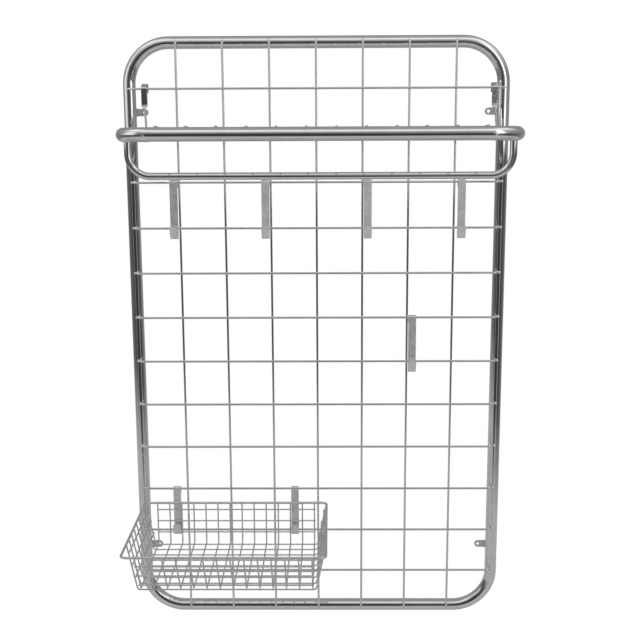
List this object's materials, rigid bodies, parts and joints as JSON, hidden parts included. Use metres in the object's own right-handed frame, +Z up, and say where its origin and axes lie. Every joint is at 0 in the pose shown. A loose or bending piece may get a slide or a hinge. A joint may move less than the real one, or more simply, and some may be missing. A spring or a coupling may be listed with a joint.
{
  "type": "wall rack with letter tray",
  "caption": "Wall-hung chromed tube frame with a welded wire grid, a hook-on hat shelf and coat rail, strip coat hooks, and a wire letter tray hung near the bottom.",
  "frame": {"origin": "on the wall plane, midway between the four wall lugs", "axes": "+X to the right seen from the front, +Y into the wall, +Z up; the front faces -Y"},
  "size_m": [0.6252, 0.2939, 0.9896],
  "materials": {
    "chrome": "polished chrome plate on tube",
    "bright_wire": "chrome plate on thin wire, slightly duller",
    "satin_zinc": "mottled satin zinc",
    "pale_zinc": "warm pale satin zinc",
    "black_plastic": "matt black"
  },
  "bodies": {
    "rack": {"frame_tube": "chrome", "grid_vertical_1": "bright_wire", "grid_vertical_2": "bright_wire", "grid_vertical_3": "bright_wire", "grid_vertical_4": "bright_wire", "grid_vertical_5": "bright_wire", "grid_vertical_6": "bright_wire", "grid_vertical_7": "bright_wire", "grid_horizontal_1": "bright_wire", "grid_horizontal_2": "bright_wire", "grid_horizontal_3": "bright_wire", "grid_horizontal_4": "bright_wire", "grid_horizontal_5": "bright_wire", "grid_horizontal_6": "bright_wire", "grid_horizontal_7": "bright_wire", "grid_horizontal_8": "bright_wire", "grid_horizontal_9": "bright_wire", "grid_horizontal_10": "bright_wire", "grid_horizontal_11": "bright_wire", "grid_horizontal_12": "bright_wire", "wall_lug_upper_left": "pale_zinc", "wall_lug_upper_right": "pale_zinc", "wall_lug_lower_left": "pale_zinc", "wall_lug_lower_right": "pale_zinc"},
    "hat_shelf": {"shelf_tube": "chrome", "shelf_wires": "bright_wire", "coat_rail": "chrome", "hanger_bar_left": "satin_zinc", "hanger_bar_right": "satin_zinc", "shelf_end_plug_left": "black_plastic", "shelf_end_plug_right": "black_plastic"},
    "coat_hook_1": {"coat_hook_1": "satin_zinc"},
    "coat_hook_2": {"coat_hook_2": "satin_zinc"},
    "coat_hook_3": {"coat_hook_3": "satin_zinc"},
    "coat_hook_4": {"coat_hook_4": "satin_zinc"},
    "coat_hook_5": {"coat_hook_5": "satin_zinc"},
    "tray_hook_left": {"tray_hook_left": "satin_zinc"},
    "tray_hook_right": {"tray_hook_right": "satin_zinc"},
    "letter_tray": {"tray_rim_and_long_wires": "satin_zinc", "tray_cross_wire_1": "satin_zinc", "tray_cross_wire_2": "satin_zinc", "tray_cross_wire_3": "satin_zinc", "tray_cross_wire_4": "satin_zinc", "tray_cross_wire_5": "satin_zinc", "tray_cross_wire_6": "satin_zinc", "tray_cross_wire_7": "satin_zinc", "tray_cross_wire_8": "satin_zinc", "tray_cross_wire_9": "satin_zinc", "tray_cross_wire_10": "satin_zinc", "tray_cross_wire_11": "satin_zinc", "tray_cross_wire_12": "satin_zinc", "tray_cross_wire_13": "satin_zinc", "tray_cross_wire_14": "satin_zinc", "tray_rear_wire_1": "satin_zinc", "tray_rear_wire_2": "satin_zinc", "tray_rear_wire_3": "satin_zinc", "tray_front_wire_1": "satin_zinc", "tray_front_wire_2": "satin_zinc", "tray_front_wire_3": "satin_zinc"}
  },
  "joints": [
    {"name": "hat_shelf_tilt", "type": "hinge", "parent": "rack", "child": "hat_shelf", "pos_m": [0, -0.02865, 0.4125], "axis": [-1, 0, 0], "range_deg": [0, 60]},
    {"name": "coat_hook_1_swing", "type": "hinge", "parent": "rack", "child": "coat_hook_1", "pos_m": [-0.2336, -0.02865, 0.2625], "axis": [-1, 0, 0], "range_deg": [0, 75]},
    {"name": "coat_hook_2_swing", "type": "hinge", "parent": "rack", "child": "coat_hook_2", "pos_m": [-0.0836, -0.02865, 0.2625], "axis": [-1, 0, 0], "range_deg": [0, 75]},
    {"name": "coat_hook_3_swing", "type": "hinge", "parent": "rack", "child": "coat_hook_3", "pos_m": [0.0836, -0.02865, 0.2625], "axis": [-1, 0, 0], "range_deg": [0, 75]},
    {"name": "coat_hook_4_swing", "type": "hinge", "parent": "rack", "child": "coat_hook_4", "pos_m": [0.2366, -0.02865, 0.2625], "axis": [-1, 0, 0], "range_deg": [0, 75]},
    {"name": "coat_hook_5_swing", "type": "hinge", "parent": "rack", "child": "coat_hook_5", "pos_m": [0.1586, -0.02865, 0.0375], "axis": [-1, 0, 0], "range_deg": [0, 75]},
    {"name": "tray_hook_left_swing", "type": "hinge", "parent": "rack", "child": "tray_hook_left", "pos_m": [-0.2429, -0.02865, -0.2625], "axis": [-1, 0, 0], "range_deg": [0, 45]},
    {"name": "tray_hook_right_swing", "type": "hinge", "parent": "rack", "child": "tray_hook_right", "pos_m": [-0.0397, -0.02865, -0.2625], "axis": [-1, 0, 0], "range_deg": [0, 45]},
    {"name": "letter_tray_lift", "type": "slide", "parent": "tray_hook_left", "child": "letter_tray", "axis": [0, 0, 1], "range_m": [0, 0.014]}
  ],
  "couplings": [
    {"joint": "tray_hook_right_swing", "follows": "tray_hook_left_swing", "ratio": 1}
  ]
}
